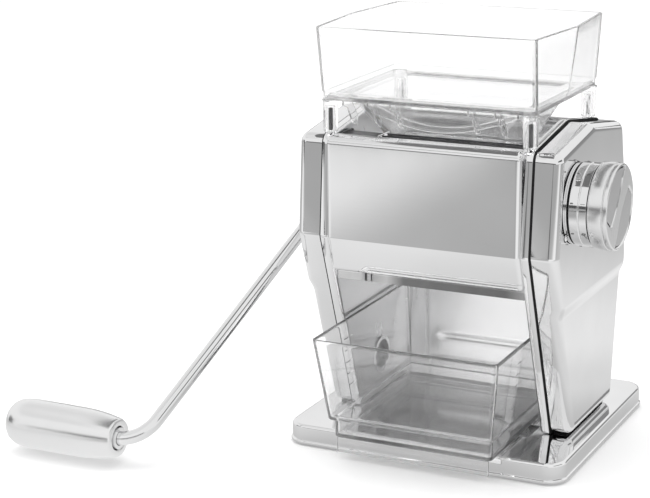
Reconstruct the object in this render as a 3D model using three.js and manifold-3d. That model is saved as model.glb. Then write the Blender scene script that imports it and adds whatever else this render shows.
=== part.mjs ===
// A hand-cranked roller grain mill, in millimetres, +Z up.
// X runs along the rollers: the crank is on the -X side and the dial on the +X side. -Y is the front.
// The origin is on the table, under the centre of the base.
import * as THREE from 'three';
import { mergeVertices } from 'three/addons/utils/BufferGeometryUtils.js';
import Module from 'manifold-3d';

const wasm = await Module();
wasm.setup();

// ---- Driving dimensions ----
const GAP = 0.3; // between pieces that touch
const RUN = 0.4; // round a turning shaft

const BASE = { width: 205, depth: 187.6, foot: 1.6, top: 15.5, sheet: 2, corner: 14, bead: 1 };
const PLATE = { inner: 69, sheet: 2, outer: 75.4 }; // a pressed side plate: sheet with a rim facing out
const COVER = { inner: 76.4, outer: 94.8, sheet: 1.6, edge: 5, lip: 1.2, stepDrop: 2.8, stepZ: 113 }; // lip: inside the plate's outline
const PANEL = { half: 68.6, sheet: 1.6, face: -90.6, top: 224.2, crease: 154.8, lowY: -83.6, lowZ: 129.6 };

// The side outline as (y, z) corners, from the front foot round the back, with a fillet radius each.
const SIDE = [
  [-40.5, 15.9, 2], [49, 15.9, 2], [65, 122, 14], [57.2, 191, 40],
  [50, 223.4, 10], [-17, 233.8, 24], [-84, 224, 8], [-90, 154, 6],
];

// Shaft axes as (y, z).
const DRIVE = { y: -17, z: 164 };
const FRONT = { y: -49, z: 185 };
const FEED = { y: -8.5, z: 198.9 };
const ROLLER = { half: 67, radius: 18.8, feedRadius: 11.8, journal: 7, driveJournal: 8, feedJournal: 5 };

const TOOTH = { module: 2.394, driveTeeth: 16, feedTeeth: 14, width: 4.8 };
const GEAR_X = { inner: -72.6, outer: -78.6 }; // inboard face of each gear plane

const CAM = { radius: 8.6, throw: 0.6 }; // half a turn of the dial moves the front roller by twice the throw
const DIAL = { seat: 95.1, ringEnd: 96.5, back: 97, step: 110, face: 122, radius: 29.5, shaft: 6, recess: 113.2 };

const ROD = { radius: 4.75, inner: -70.5, bendX: -104, kneeX: -170, endX: -262 };
const GRIP = { y: -180.5, z: 20, inner: -187, outer: -276, radius: 17.3, endRadius: 13.3, bore: 5.3 };

const HOPPER = { rimZ: 298.3, ledgeZ: 253.4, floorZ: 247.8, throatZ: 213.6, midY: -22, wall: 2.2 };
const TRAY = { rimZ: 90.2, ledgeZ: 32, floorZ: 16, lipZ: 5.5, wall: 2 };
const EYELET = { y: -6.5, z: 45.5, hole: 12, bore: 10.6 };
const CLAMP = { x0: 48, x1: 64, y0: -52, y1: -24, depth: 9 };
const RODS = [[-74, 207], [-70, 138], [40, 205], [50, 125]]; // tie rods as (y, z)
const FOOT_SCREWS = { x: 73.2, radius: 1.6, y: [-32, 38] }; // screws up into the rim of each side plate

// ---- Materials ----
const metal = (color, roughness) => new THREE.MeshStandardMaterial({ color, roughness, metalness: 1 });
const chrome = () => metal(0xd9dadc, 0.08);
const steel = () => metal(0x9b9da0, 0.35);
const bronze = () => metal(0xa98a55, 0.4);
const aluminium = () => metal(0xd4d6d8, 0.3);
const rubber = () => new THREE.MeshStandardMaterial({ color: 0x222222, roughness: 0.9, metalness: 0 });
const clear = () => new THREE.MeshStandardMaterial({ color: 0xe8edf0, roughness: 0.05, metalness: 0 });

const mill = new THREE.Group();
mill.name = 'roller_grain_mill';

function add(name, geometry, material) {
  const mesh = new THREE.Mesh(geometry, material);
  mesh.name = name;
  mill.add(mesh);
}

// ---- Solids and booleans ----
function solid(geometry) {
  const bare = geometry.clone();
  bare.deleteAttribute('normal');
  bare.deleteAttribute('uv');
  const merged = mergeVertices(bare, 1e-3);
  return new wasm.Manifold(new wasm.Mesh({
    numProp: 3,
    vertProperties: merged.getAttribute('position').array,
    triVerts: new Uint32Array(merged.index.array),
  }));
}

function geometryOf(manifold) {
  const mesh = manifold.getMesh();
  const geometry = new THREE.BufferGeometry();
  geometry.setAttribute('position', new THREE.BufferAttribute(mesh.vertProperties, mesh.numProp));
  geometry.setIndex(new THREE.BufferAttribute(mesh.triVerts, 1));
  geometry.computeVertexNormals();
  return geometry;
}

const joined = (...parts) => geometryOf(parts.map(solid).reduce((a, b) => a.add(b)));

function cut(body, ...tools) {
  return geometryOf(tools.map(solid).reduce((a, b) => a.subtract(b), solid(body)));
}

const common = (a, b) => geometryOf(solid(a).intersect(solid(b)));

// Mirrors a geometry in the plane x = 0 and turns its faces round again.
function mirrored(geometry) {
  const copy = geometry.clone().scale(-1, 1, 1);
  const flat = copy.index ? copy.toNonIndexed() : copy;
  const position = flat.getAttribute('position');
  for (let i = 0; i < position.count; i += 3) {
    const [x, y, z] = [position.getX(i + 1), position.getY(i + 1), position.getZ(i + 1)];
    position.setXYZ(i + 1, position.getX(i + 2), position.getY(i + 2), position.getZ(i + 2));
    position.setXYZ(i + 2, x, y, z);
  }
  flat.computeVertexNormals();
  return flat;
}

// ---- Basic shapes ----
function box(x0, x1, y0, y1, z0, z1) {
  const geometry = new THREE.BoxGeometry(x1 - x0, y1 - y0, z1 - z0);
  return geometry.translate((x0 + x1) / 2, (y0 + y1) / 2, (z0 + z1) / 2);
}

// A cylinder along X between x0 and x1.
function rodX(radius, x0, x1, { y, z }, sides = 20) {
  const geometry = new THREE.CylinderGeometry(radius, radius, x1 - x0, sides);
  return geometry.rotateZ(-Math.PI / 2).translate((x0 + x1) / 2, y, z);
}

function rodZ(radius, z0, z1, x, y, sides = 16) {
  const geometry = new THREE.CylinderGeometry(radius, radius, z1 - z0, sides);
  return geometry.rotateX(Math.PI / 2).translate(x, y, (z0 + z1) / 2);
}

// A body of revolution about an axis parallel to X, from (x, radius) points in order of rising x outside.
function turnedX(profile, { y, z }, sides = 28) {
  const points = profile.map(([x, r]) => new THREE.Vector2(r, x));
  return new THREE.LatheGeometry(points, sides).rotateZ(-Math.PI / 2).translate(0, y, z);
}

// A ring about an axis parallel to X.
function ringX(bore, radius, x0, x1, axis, sides = 24) {
  return turnedX([[x0, bore], [x0, radius], [x1, radius], [x1, bore], [x0, bore]], axis, sides);
}

// Rounds the corners [y, z, radius] of an outline into a list of points.
function filleted(corners, steps = 3) {
  const points = [];
  corners.forEach(([x, y, radius], i) => {
    const here = new THREE.Vector2(x, y);
    const before = new THREE.Vector2(...corners.at(i - 1)).sub(here).normalize();
    const after = new THREE.Vector2(...corners[(i + 1) % corners.length]).sub(here).normalize();
    const half = Math.acos(THREE.MathUtils.clamp(before.dot(after), -1, 1)) / 2;
    const reach = radius / Math.tan(half);
    const start = here.clone().addScaledVector(before, reach);
    const end = here.clone().addScaledVector(after, reach);
    const curve = new THREE.QuadraticBezierCurve(start, here, end);
    points.push(...curve.getPoints(steps));
  });
  return points;
}

// Moves every side of a counterclockwise outline inward and shrinks its fillets to suit.
function shrunk(corners, distance) {
  const at = (i) => new THREE.Vector2(...corners[(i + corners.length) % corners.length].slice(0, 2));
  const leftOf = (d) => new THREE.Vector2(-d.y, d.x);
  return corners.map(([x, y, radius], i) => {
    const before = leftOf(at(i).sub(at(i - 1)).normalize());
    const after = leftOf(at(i + 1).sub(at(i)).normalize());
    const middle = before.clone().add(after).normalize();
    const reach = distance / middle.dot(before);
    return [x + middle.x * reach, y + middle.y * reach, Math.max(radius - distance, 0.8)];
  });
}

// Extrudes a (y, z) outline along X.
function extrudeX(points, x0, x1, extra = { bevelEnabled: false }) {
  const rim = extra.bevelThickness ?? 0;
  const options = { depth: x1 - x0 - 2 * rim, steps: 1, ...extra };
  const geometry = new THREE.ExtrudeGeometry(new THREE.Shape(points), options);
  const axes = new THREE.Matrix4().makeBasis(
    new THREE.Vector3(0, 1, 0), new THREE.Vector3(0, 0, 1), new THREE.Vector3(1, 0, 0),
  );
  return geometry.applyMatrix4(axes).translate(x0 + rim, 0, 0);
}

// Extrudes an (x, y) outline along Z.
function extrudeZ(points, z0, z1) {
  const shape = new THREE.Shape(points);
  return new THREE.ExtrudeGeometry(shape, { depth: z1 - z0, bevelEnabled: false }).translate(0, 0, z0);
}

const outline = (pairs) => pairs.map(([a, b]) => new THREE.Vector2(a, b));

// A folded sheet across the mill: the (y, z) line is given a thickness along its normals.
function foldedSheet(line, sheet, half) {
  const at = (i) => new THREE.Vector2(...line[i]);
  const sides = line.map((_, i) => {
    const a = at(Math.max(i - 1, 0));
    const b = at(Math.min(i + 1, line.length - 1));
    const here = at(i);
    const into = (i > 0 ? here.clone().sub(a) : b.clone().sub(here)).normalize();
    const out = (i < line.length - 1 ? b.clone().sub(here) : into.clone()).normalize();
    const normal = new THREE.Vector2(-into.y - out.y, into.x + out.x).normalize();
    const stretch = 1 / Math.max(0.4, normal.dot(new THREE.Vector2(-into.y, into.x)));
    return here.clone().addScaledVector(normal, sheet * stretch);
  });
  const loop = [...line.map((_, i) => at(i)), ...sides.reverse()];
  if (THREE.ShapeUtils.area(loop) < 0) loop.reverse();
  return extrudeX(loop, -half, half);
}

// A closed skin over rings of equal length. It is capped at both ends, or its last ring joins its first.
function lofted(rings, joinEnds = false) {
  const count = rings[0].length;
  const position = rings.flat().flatMap((p) => [p.x, p.y, p.z]);
  const index = [];
  const last = joinEnds ? rings.length : rings.length - 1;
  for (let r = 0; r < last; r += 1) {
    for (let i = 0; i < count; i += 1) {
      const [a, b] = [r * count + i, r * count + ((i + 1) % count)];
      const [c, d] = [((r + 1) % rings.length) * count + i, ((r + 1) % rings.length) * count + ((i + 1) % count)];
      index.push(a, b, d, a, d, c);
    }
  }
  const top = (rings.length - 1) * count;
  for (let i = 1; i < count - 1 && !joinEnds; i += 1) {
    index.push(0, i + 1, i, top, top + i, top + i + 1);
  }
  const geometry = new THREE.BufferGeometry();
  geometry.setAttribute('position', new THREE.Float32BufferAttribute(position, 3));
  geometry.setIndex(index);
  geometry.computeVertexNormals();
  return geometry;
}

// A level ring in plan, counterclockwise: straight front and back, and sides that may kink out half way.
function planRing({ front, back, half, mid = half, backHalf = half, corner, z }) {
  const middle = (front + back) / 2;
  const corners = [
    [-half, front, corner], [half, front, corner], [mid, middle, 3],
    [backHalf, back, corner], [-backHalf, back, corner], [-mid, middle, 3],
  ];
  return filleted(corners).map((p) => new THREE.Vector3(p.x, p.y, z));
}

// ---- Base ----
function baseOutline(grow) {
  const [hx, hy] = [BASE.width / 2 + grow, BASE.depth / 2 + grow];
  const r = BASE.corner + grow;
  return filleted([[-hx, -hy, r], [hx, -hy, r], [hx, hy, r], [-hx, hy, r]], 5);
}

function basePlate() {
  const wall = joined(
    extrudeZ(baseOutline(0), BASE.foot, BASE.top),
    extrudeZ(baseOutline(BASE.bead), BASE.foot, BASE.foot + 2.2),
  );
  const hollow = extrudeZ(baseOutline(-BASE.sheet), 0, BASE.top - BASE.sheet);
  const slot = box(CLAMP.x0, CLAMP.x1, CLAMP.y0, CLAMP.y1, BASE.top - 4, BASE.top + 1);
  return cut(wall, hollow, slot, ...footScrewHoles());
}

function footScrewHoles() {
  const { x, y, radius } = FOOT_SCREWS;
  return [-x, x].flatMap((sx) => y.map((sy) => rodZ(radius + GAP, 5, 19, sx, sy, 12)));
}

function baseScrew(x, y) {
  return joined(rodZ(3.6, 10.8, BASE.top - BASE.sheet - GAP, x, y), rodZ(FOOT_SCREWS.radius, 12, 19.5, x, y, 12));
}

function clampSocket() {
  const top = BASE.top - BASE.sheet - GAP;
  const [x0, x1, y0, y1] = [CLAMP.x0, CLAMP.x1, CLAMP.y0, CLAMP.y1];
  return cut(box(x0 - 2, x1 + 2, y0 - 2, y1 + 2, top - CLAMP.depth, top), box(x0, x1, y0, y1, top - CLAMP.depth + 1.5, top + 1));
}

add('base_plate', basePlate(), chrome());
add('base_bottom', extrudeZ(baseOutline(-BASE.sheet - 0.6), 2.2, 3.4), steel());
add('clamp_socket', clampSocket(), steel());
for (const [name, sx, sy] of [['front_left', -1, -1], ['front_right', 1, -1], ['rear_left', -1, 1], ['rear_right', 1, 1]]) {
  add(`rubber_foot_${name}`, rodZ(9, 0, 1.9, sx * 82, sy * 73, 20), rubber());
}
for (const [side, sign] of [['left', -1], ['right', 1]]) {
  add(`base_screw_front_${side}`, baseScrew(sign * FOOT_SCREWS.x, FOOT_SCREWS.y[0]), steel());
  add(`base_screw_rear_${side}`, baseScrew(sign * FOOT_SCREWS.x, FOOT_SCREWS.y[1]), steel());
}

// ---- Side plates, with every bearing and screw hole ----
const sideOutline = filleted(SIDE);

function sidePlate(sign) {
  const floor = PLATE.inner + PLATE.sheet;
  const blank = extrudeX(sideOutline, PLATE.inner, PLATE.outer);
  const pan = extrudeX(filleted(shrunk(SIDE, PLATE.sheet)), floor, PLATE.outer + 4);
  const through = (radius, axis) => rodX(radius, PLATE.inner - 1, floor + 1, axis);
  const window = box(
    PLATE.inner - 1, floor + 1, BLOCK.front - 2 * CAM.throw - 0.8, BLOCK.back + 0.8,
    FRONT.z - BLOCK.halfZ - GAP, FRONT.z + BLOCK.halfZ + GAP,
  );
  const holes = [
    through(ROLLER.driveJournal + RUN + 3.5, DRIVE),
    through(ROLLER.feedJournal + RUN + 3.5, FEED),
    through(EYELET.hole, EYELET),
    ...RODS.map(([y, z]) => through(2.8, { y, z })),
    ...footScrewHoles().slice(2),
  ];
  const plate = cut(blank, pan, window, ...holes);
  return sign < 0 ? mirrored(plate) : plate;
}

function eyelet(sign) {
  const profile = [
    [67.9, EYELET.bore], [67.9, 13.4], [68.7, 13.4], [68.7, EYELET.hole - GAP],
    [71.4, EYELET.hole - GAP], [71.4, EYELET.bore], [67.9, EYELET.bore],
  ];
  const ring = turnedX(profile, EYELET);
  return sign < 0 ? mirrored(ring) : ring;
}

// The bush of a journal in a side plate.
function bush(journal, axis, sign) {
  const ring = ringX(journal + RUN, journal + RUN + 3.2, 68.2, 71.6, axis);
  return sign < 0 ? mirrored(ring) : ring;
}

// ---- Front roller carriage: bearing blocks that slide in the plate windows, a cross bar and the cam yoke ----
const BLOCK = { front: -75, back: -37, halfZ: 11, x0: 68.2, x1: 72.3 };

function carriageBlock(sign) {
  const block = box(BLOCK.x0, BLOCK.x1, BLOCK.front, BLOCK.back, FRONT.z - BLOCK.halfZ, FRONT.z + BLOCK.halfZ);
  const bored = cut(block, rodX(ROLLER.journal + RUN, 60, 80, FRONT, 24));
  return sign < 0 ? mirrored(bored) : bored;
}

// The yoke's slot fits the cam disc from front to back and lets it rise and fall.
function camYoke() {
  const plate = box(72.6, 76, FRONT.y - 14, FRONT.y + 14, FRONT.z - 15, FRONT.z + 15);
  const [middle, fit, rise] = [FRONT.y + CAM.throw, CAM.radius + 0.35, CAM.radius + CAM.throw + 0.6];
  return cut(plate, box(70, 78, middle - fit, middle + fit, FRONT.z - rise, FRONT.z + rise));
}

// ---- Covers: a drawn shell over each side plate, stepped in below stepZ ----
function coverSolid(skin) {
  const edge = COVER.edge - skin;
  const round = { bevelEnabled: true, bevelThickness: edge, bevelSize: edge, bevelSegments: 3 };
  const core = filleted(shrunk(SIDE, COVER.edge + COVER.lip));
  const body = extrudeX(core, COVER.inner - 20, COVER.outer - skin, round);
  const step = COVER.outer - COVER.stepDrop - skin;
  const half = extrudeXZ([[step, -5], [120, -5], [120, COVER.stepZ + 3], [COVER.outer - skin, COVER.stepZ + 3],
    [step, COVER.stepZ - 3]]);
  return cut(body, half);
}

// Extrudes an (x, z) outline along Y through the whole mill.
function extrudeXZ(pairs) {
  const geometry = new THREE.ExtrudeGeometry(new THREE.Shape(outline(pairs)), { depth: 400, bevelEnabled: false });
  return geometry.rotateX(Math.PI / 2).translate(0, 200, 0);
}

function cover(sign, holeRadius, holeAxis) {
  const open = box(COVER.inner - 60, COVER.inner, -200, 200, 0, 300);
  const shell = cut(coverSolid(0), open, coverSolid(COVER.sheet), rodX(holeRadius, 80, 100, holeAxis, 24));
  return sign < 0 ? mirrored(shell) : shell;
}

for (const [side, sign] of [['left', -1], ['right', 1]]) {
  add(`side_plate_${side}`, sidePlate(sign), chrome());
  add(`plate_eyelet_${side}`, eyelet(sign), chrome());
  add(`drive_bush_${side}`, bush(ROLLER.driveJournal, DRIVE, sign), bronze());
  add(`feed_bush_${side}`, bush(ROLLER.feedJournal, FEED, sign), bronze());
  add(`carriage_block_${side}`, carriageBlock(sign), bronze());
}
const barEnd = BLOCK.x0 - GAP;
add('carriage_bar', box(-barEnd, barEnd, BLOCK.front, BLOCK.front + 4, FRONT.z - 8, FRONT.z + 8), steel());
add('cam_yoke', camYoke(), steel());
add('cover_left', cover(-1, 13, DRIVE), chrome());
add('cover_right', cover(1, DIAL.shaft + 1.6, FRONT), chrome());

// ---- Sheets and rods between the side plates ----
const frontLine = [
  [-76, 223.2], [-86, PANEL.top], [-89.2, PANEL.top - 1.6], [PANEL.face, PANEL.top - 5],
  [PANEL.face, PANEL.crease], [PANEL.lowY, PANEL.lowZ], [-80.6, PANEL.lowZ + 0.5],
];
const backLine = [
  [37, 16.1], [41.1, 16.1], [58.6, 116], [53, 188], [45.4, 219.5], [43, 221.2], [36, 222.4],
];
add('front_panel', foldedSheet(frontLine, PANEL.sheet, PANEL.half), chrome());
add('back_panel', foldedSheet(backLine, PANEL.sheet, PANEL.half), chrome());
add('front_chute', foldedSheet([[-78.6, 150], [-76.6, 127], [-76.6, 121.8], [-74, 121.8]], 1.2, PANEL.half), chrome());
add('rear_chute', foldedSheet([[52, 158], [19, 121.8]], 1.2, PANEL.half), steel());

const rodNames = ['front_top', 'front_low', 'rear_top', 'rear_low'];
RODS.forEach(([y, z], i) => {
  const end = PLATE.inner - GAP;
  add(`tie_rod_${rodNames[i]}`, ringX(2.8, 4.5, -end, end, { y, z }, 16), steel());
  for (const [side, sign] of [['left', -1], ['right', 1]]) {
    const inboard = PLATE.inner + PLATE.sheet + GAP;
    const screw = joined(rodX(4.4, inboard, inboard + 2.4, { y, z }, 16), rodX(2.3, 58, inboard + 1, { y, z }, 12));
    add(`tie_screw_${rodNames[i]}_${side}`, sign < 0 ? mirrored(screw) : screw, steel());
  }
});

// ---- Rollers ----
function fluted(radius, flutes, depth, axis) {
  const points = [];
  for (let i = 0; i < flutes; i += 1) {
    for (const [share, r] of [[0, radius], [0.5, radius], [0.62, radius - depth], [0.88, radius - depth]]) {
      const angle = ((i + share) / flutes) * 2 * Math.PI;
      points.push([axis.y + r * Math.cos(angle), axis.z + r * Math.sin(angle)]);
    }
  }
  return extrudeX(outline(points), -ROLLER.half, ROLLER.half);
}

function driveRoller() {
  const body = fluted(ROLLER.radius, 24, 0.7, DRIVE);
  const journal = rodX(ROLLER.driveJournal, -84, 74, DRIVE, 24);
  return cut(joined(body, journal), rodX(ROD.radius + 0.45, -90, -69, DRIVE, 24));
}

function frontRoller() {
  return joined(fluted(ROLLER.radius, 24, 0.7, FRONT), rodX(ROLLER.journal, -77.8, 72.3, FRONT, 24));
}

function feedRoller() {
  return joined(fluted(ROLLER.feedRadius, 10, 2, FEED), rodX(ROLLER.feedJournal, -84, 74, FEED, 20));
}

// A spur gear with straight-sided teeth; its first tooth or gap points along the given angle.
function gear(teeth, bore, x0, axis, angle, startsOnGap) {
  const pitch = (teeth * TOOTH.module) / 2;
  const [tip, root] = [pitch + 1.9, pitch - 2.5];
  const [wide, narrow] = [0.235, 0.1]; // half tooth widths at root and tip, as shares of one pitch
  const points = [];
  for (let i = 0; i < teeth; i += 1) {
    const centre = i + (startsOnGap ? 0.5 : 0);
    for (const [share, r] of [[-wide, root], [-narrow, tip], [narrow, tip], [wide, root]]) {
      const turn = angle + ((centre + share) / teeth) * 2 * Math.PI;
      points.push([axis.y + r * Math.cos(turn), axis.z + r * Math.sin(turn)]);
    }
  }
  const blank = extrudeX(outline(points), x0 - TOOTH.width, x0);
  return cut(blank, rodX(bore + GAP, x0 - 20, x0 + 20, axis, 24));
}

const towards = (a, b) => Math.atan2(b.z - a.z, b.y - a.y);
add('drive_roller', driveRoller(), steel());
add('front_roller', frontRoller(), steel());
add('feed_roller', feedRoller(), steel());
add('drive_gear', gear(16, ROLLER.driveJournal, GEAR_X.inner, DRIVE, towards(DRIVE, FRONT), false), steel());
add('front_gear', gear(16, ROLLER.journal, GEAR_X.inner, FRONT, towards(FRONT, DRIVE), true), steel());
add('feed_drive_gear', gear(16, ROLLER.driveJournal, GEAR_X.outer, DRIVE, towards(DRIVE, FEED), false), steel());
add('feed_gear', gear(14, ROLLER.feedJournal, GEAR_X.outer, FEED, towards(FEED, DRIVE), true), steel());

// ---- Dial: a fixed ring with a stop groove, a cam shaft, and a knob that pulls out on the shaft ----
function dialRing() {
  const profile = [
    [DIAL.seat, 8], [DIAL.seat, 27], [DIAL.ringEnd, 27], [DIAL.ringEnd, 25.4], [DIAL.ringEnd - 0.8, 25.4],
    [DIAL.ringEnd - 0.8, 20.6], [DIAL.ringEnd, 20.6], [DIAL.ringEnd, 8], [DIAL.seat, 8],
  ];
  return turnedX(profile, FRONT, 32);
}

function dialShaft() {
  const disc = rodX(CAM.radius, 73, 77, { y: FRONT.y + CAM.throw, z: FRONT.z }, 24);
  return joined(rodX(DIAL.shaft, 73.5, DIAL.recess - 0.6, FRONT, 20), disc);
}

function dialKnob() {
  const r = DIAL.radius;
  const profile = [
    [DIAL.back, DIAL.shaft + RUN], [DIAL.back, r - 1.5], [104, r - 1.5], [104.8, r - 2.6], [DIAL.step - 0.6, r - 2.2],
    [DIAL.step, r - 0.4], [DIAL.face - 2.4, r], [DIAL.face - 0.8, r - 0.6], [DIAL.face, r - 2], [DIAL.face, 25.2],
    [DIAL.recess, 24.8], [DIAL.recess, DIAL.shaft + RUN], [DIAL.back, DIAL.shaft + RUN],
  ];
  return turnedX(profile, FRONT, 36);
}

// The dial's face: a finger bar, leaning back at the top, left standing between two sunk D shapes.
function dialCap() {
  const back = DIAL.recess + GAP;
  const disc = turnedX([[back, 0], [back, 24.4], [DIAL.face, 24.6], [123.2, 20], [124.2, 10], [124.4, 0]], FRONT, 32);
  const pockets = [-1, 1].map((side) => {
    const [near, far] = [side * 6.8, side * 30].sort((a, b) => a - b);
    const beside = box(118.6, 130, near, far, -30, 30).rotateX(-0.33).translate(0, FRONT.y, FRONT.z);
    return common(rodX(22.4, 118.6, 130, FRONT, 32), beside);
  });
  return cut(disc, ...pockets);
}

add('dial_ring', dialRing(), chrome());
add('dial_shaft', dialShaft(), steel());
add('dial_knob', dialKnob(), chrome());
add('dial_cap', dialCap(), chrome());
add('dial_pin', rodX(1.6, 96, DIAL.back - GAP, { y: FRONT.y, z: FRONT.z - 23 }, 12), steel());

// ---- Crank: one bent rod, a retaining collar and the free-turning grip ----
function crankRod(sides = 14) {
  const along = new THREE.Vector3(-1, 0, 0);
  const foot = new THREE.Vector3(ROD.bendX, DRIVE.y, DRIVE.z);
  const knee = new THREE.Vector3(ROD.kneeX, GRIP.y, GRIP.z);
  const arm = knee.clone().sub(foot).normalize();
  const across = arm.clone().cross(along).normalize();
  const bend = (corner, before, after, reach) => new THREE.QuadraticBezierCurve3(
    corner.clone().addScaledVector(before, -reach), corner, corner.clone().addScaledVector(after, reach),
  ).getPoints(6);
  const line = [
    new THREE.Vector3(ROD.inner, DRIVE.y, DRIVE.z), ...bend(foot, along, arm, 11),
    ...bend(knee, arm, along, 15), new THREE.Vector3(ROD.endX, GRIP.y, GRIP.z),
  ];
  const rings = line.map((point, i) => {
    const before = line[Math.max(i - 1, 0)];
    const tangent = line[Math.min(i + 1, line.length - 1)].clone().sub(before).normalize();
    const up = tangent.clone().cross(across);
    return Array.from({ length: sides }, (_, k) => {
      const turn = (k / sides) * 2 * Math.PI;
      const spoke = across.clone().multiplyScalar(Math.cos(turn)).addScaledVector(up, Math.sin(turn));
      return point.clone().addScaledVector(spoke, ROD.radius);
    });
  });
  return lofted(rings);
}

function crankGrip() {
  const { inner, outer, radius, endRadius, bore } = GRIP;
  const profile = [
    [outer, 0], [outer + 1, 9], [outer + 4, 13.6], [outer + 8.5, 16.2], [outer + 15, radius],
    [inner - 25, radius + 0.2], [inner - 12, 16.2], [inner, endRadius], [inner, 8.4],
    [inner - 3, 8.4], [inner - 3, bore], [ROD.endX - 2, bore], [ROD.endX - 2, 0],
  ];
  return turnedX(profile, GRIP, 28);
}

const gripAxis = { y: GRIP.y, z: GRIP.z };
add('crank_rod', crankRod(), chrome());
add('grip_collar', ringX(ROD.radius + GAP, 7.6, GRIP.inner - 2.4, GRIP.inner + 0.6, gripAxis, 20), chrome());
add('crank_grip', crankGrip(), aluminium());
add('crank_grommet', mirrored(turnedX([
  [92.7, 9.4], [92.7, 12.6], [95.1, 12.6], [95.1, 14.6], [96.5, 14.2], [96.5, 9.4], [92.7, 9.4],
], DRIVE)), steel());

// ---- Hopper: a moulded box with kinked sides, a ledge, a funnel to the throat and four corner posts ----
function hopper() {
  const mid = HOPPER.midY;
  const ring = (depthHalf, half, z, corner, kink = half) => planRing({
    front: mid - depthHalf, back: mid + depthHalf, half, mid: kink, corner, z,
  });
  const w = HOPPER.wall;
  const rings = [
    ring(68.3, 78, HOPPER.rimZ, 4, 83.5),
    ring(62.4, 77.2, HOPPER.ledgeZ + 1.2, 4, 77.8),
    ring(61.8, 77, HOPPER.floorZ, 4),
    ring(50, 64, HOPPER.floorZ, 12),
    ring(42, 58, 236, 14),
    ring(26, 52, 221, 12),
    ring(15, 49, HOPPER.throatZ, 6),
    ring(15 - w, 49 - w, HOPPER.throatZ, 5),
    ring(26 - w, 52 - w, 222.2, 11),
    ring(42 - w, 58 - w, 237.6, 13),
    ring(50 - w * 0.8, 64 - w * 0.8, HOPPER.floorZ + w, 12),
    ring(61.8 - w, 77 - w, HOPPER.floorZ + w, 2.5),
    ring(62.4 - w, 77.2 - w, HOPPER.ledgeZ + 1.2, 2.5, 77.8 - w),
    ring(68.3 - w, 78 - w, HOPPER.rimZ, 2.5, 83.5 - w),
  ];
  const posts = [[-72, -79], [72, -79], [-72, 37], [72, 37]];
  const feet = posts.map(([x, y]) => rodZ(5, y > 0 ? 226.4 : 225.8, HOPPER.floorZ + 1, x, y, 14));
  return joined(lofted(rings.reverse(), true), ...feet);
}

// ---- Drawer: a clear tray on a narrower foot that rests on the base, with a lip over the base's front ----
function drawer() {
  const ring = (front, back, half, backHalf, z, corner) => planRing({
    front, back, half, mid: (half + backHalf) / 2, backHalf, corner, z,
  });
  const w = TRAY.wall;
  const outside = [
    ring(-122.5, 36, 67.6, 66.6, TRAY.rimZ, 4),
    ring(-113.5, 29, 60.5, 60.5, TRAY.ledgeZ, 4),
    ring(-107, 24, 58.3, 58.3, TRAY.ledgeZ - 1.5, 4),
    ring(-107, 24, 58.3, 58.3, TRAY.floorZ, 4),
  ];
  const inside = [
    ring(-107 + w, 24 - w, 58.3 - w, 58.3 - w, TRAY.floorZ + w, 2.5),
    ring(-107 + w, 24 - w, 58.3 - w, 58.3 - w, TRAY.ledgeZ - 0.5, 2.5),
    ring(-113.5 + w, 29 - w, 60.5 - w, 60.5 - w, TRAY.ledgeZ + 1, 2.5),
    ring(-122.5 + w, 36 - w, 67.6 - w, 66.6 - w, TRAY.rimZ, 2.5),
    ring(-122.5 + w, 36 - w, 67.6 - w, 66.6 - w, TRAY.rimZ + 5, 2.5),
  ];
  const tray = cut(lofted(outside.reverse()), lofted(inside));
  return joined(tray, box(-56, 56, -107, -105, TRAY.lipZ, TRAY.floorZ + 1));
}

add('hopper', hopper(), clear());
add('drawer', drawer(), clear());

export default mill;
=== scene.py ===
"""A hand-cranked roller grain mill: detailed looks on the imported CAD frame.

X runs along the rollers (crank on -X, dial on +X), -Y is the front, +Z is up.
Lengths in this script are millimetres until a mesh is made.
"""

import math

import bmesh
import bpy
from mathutils import Matrix, Vector


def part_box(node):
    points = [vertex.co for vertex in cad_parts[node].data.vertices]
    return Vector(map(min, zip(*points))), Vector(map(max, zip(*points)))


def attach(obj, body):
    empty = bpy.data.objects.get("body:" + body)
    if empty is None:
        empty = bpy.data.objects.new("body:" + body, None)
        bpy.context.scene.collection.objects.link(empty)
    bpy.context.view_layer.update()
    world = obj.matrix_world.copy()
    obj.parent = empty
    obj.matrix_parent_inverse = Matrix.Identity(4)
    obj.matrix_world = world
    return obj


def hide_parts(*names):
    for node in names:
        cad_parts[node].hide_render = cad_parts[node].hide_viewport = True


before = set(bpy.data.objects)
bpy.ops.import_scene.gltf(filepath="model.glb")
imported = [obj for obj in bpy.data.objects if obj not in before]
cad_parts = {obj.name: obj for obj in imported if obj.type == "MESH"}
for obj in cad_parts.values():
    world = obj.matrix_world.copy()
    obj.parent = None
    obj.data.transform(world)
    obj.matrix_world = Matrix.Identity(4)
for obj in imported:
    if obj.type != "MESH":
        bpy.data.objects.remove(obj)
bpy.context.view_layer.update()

MM = 0.001
scene = bpy.context.scene


def box_mm(node):
    """The low and high corners of a CAD node's box."""
    low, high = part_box(node)
    return [v / MM for v in low], [v / MM for v in high]


def box_x(node):
    """The two ends of a CAD node along X."""
    low, high = box_mm(node)
    return low[0], high[0]


# ---- materials
def new_material(name):
    """A material with its node tree and its shader."""
    material = bpy.data.materials.new(name)
    material.use_nodes = True
    tree = material.node_tree
    return material, tree, tree.nodes["Principled BSDF"]


def feed(socket, value):
    """Links another socket to an input, or sets the input to a plain value."""
    if isinstance(value, bpy.types.NodeSocket):
        socket.id_data.links.new(value, socket)
    else:
        socket.default_value = value


def put(node, **values):
    """Feeds inputs by name, with _ for a space."""
    for name, value in values.items():
        feed(node.inputs[name.replace("_", " ")], value)


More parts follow.
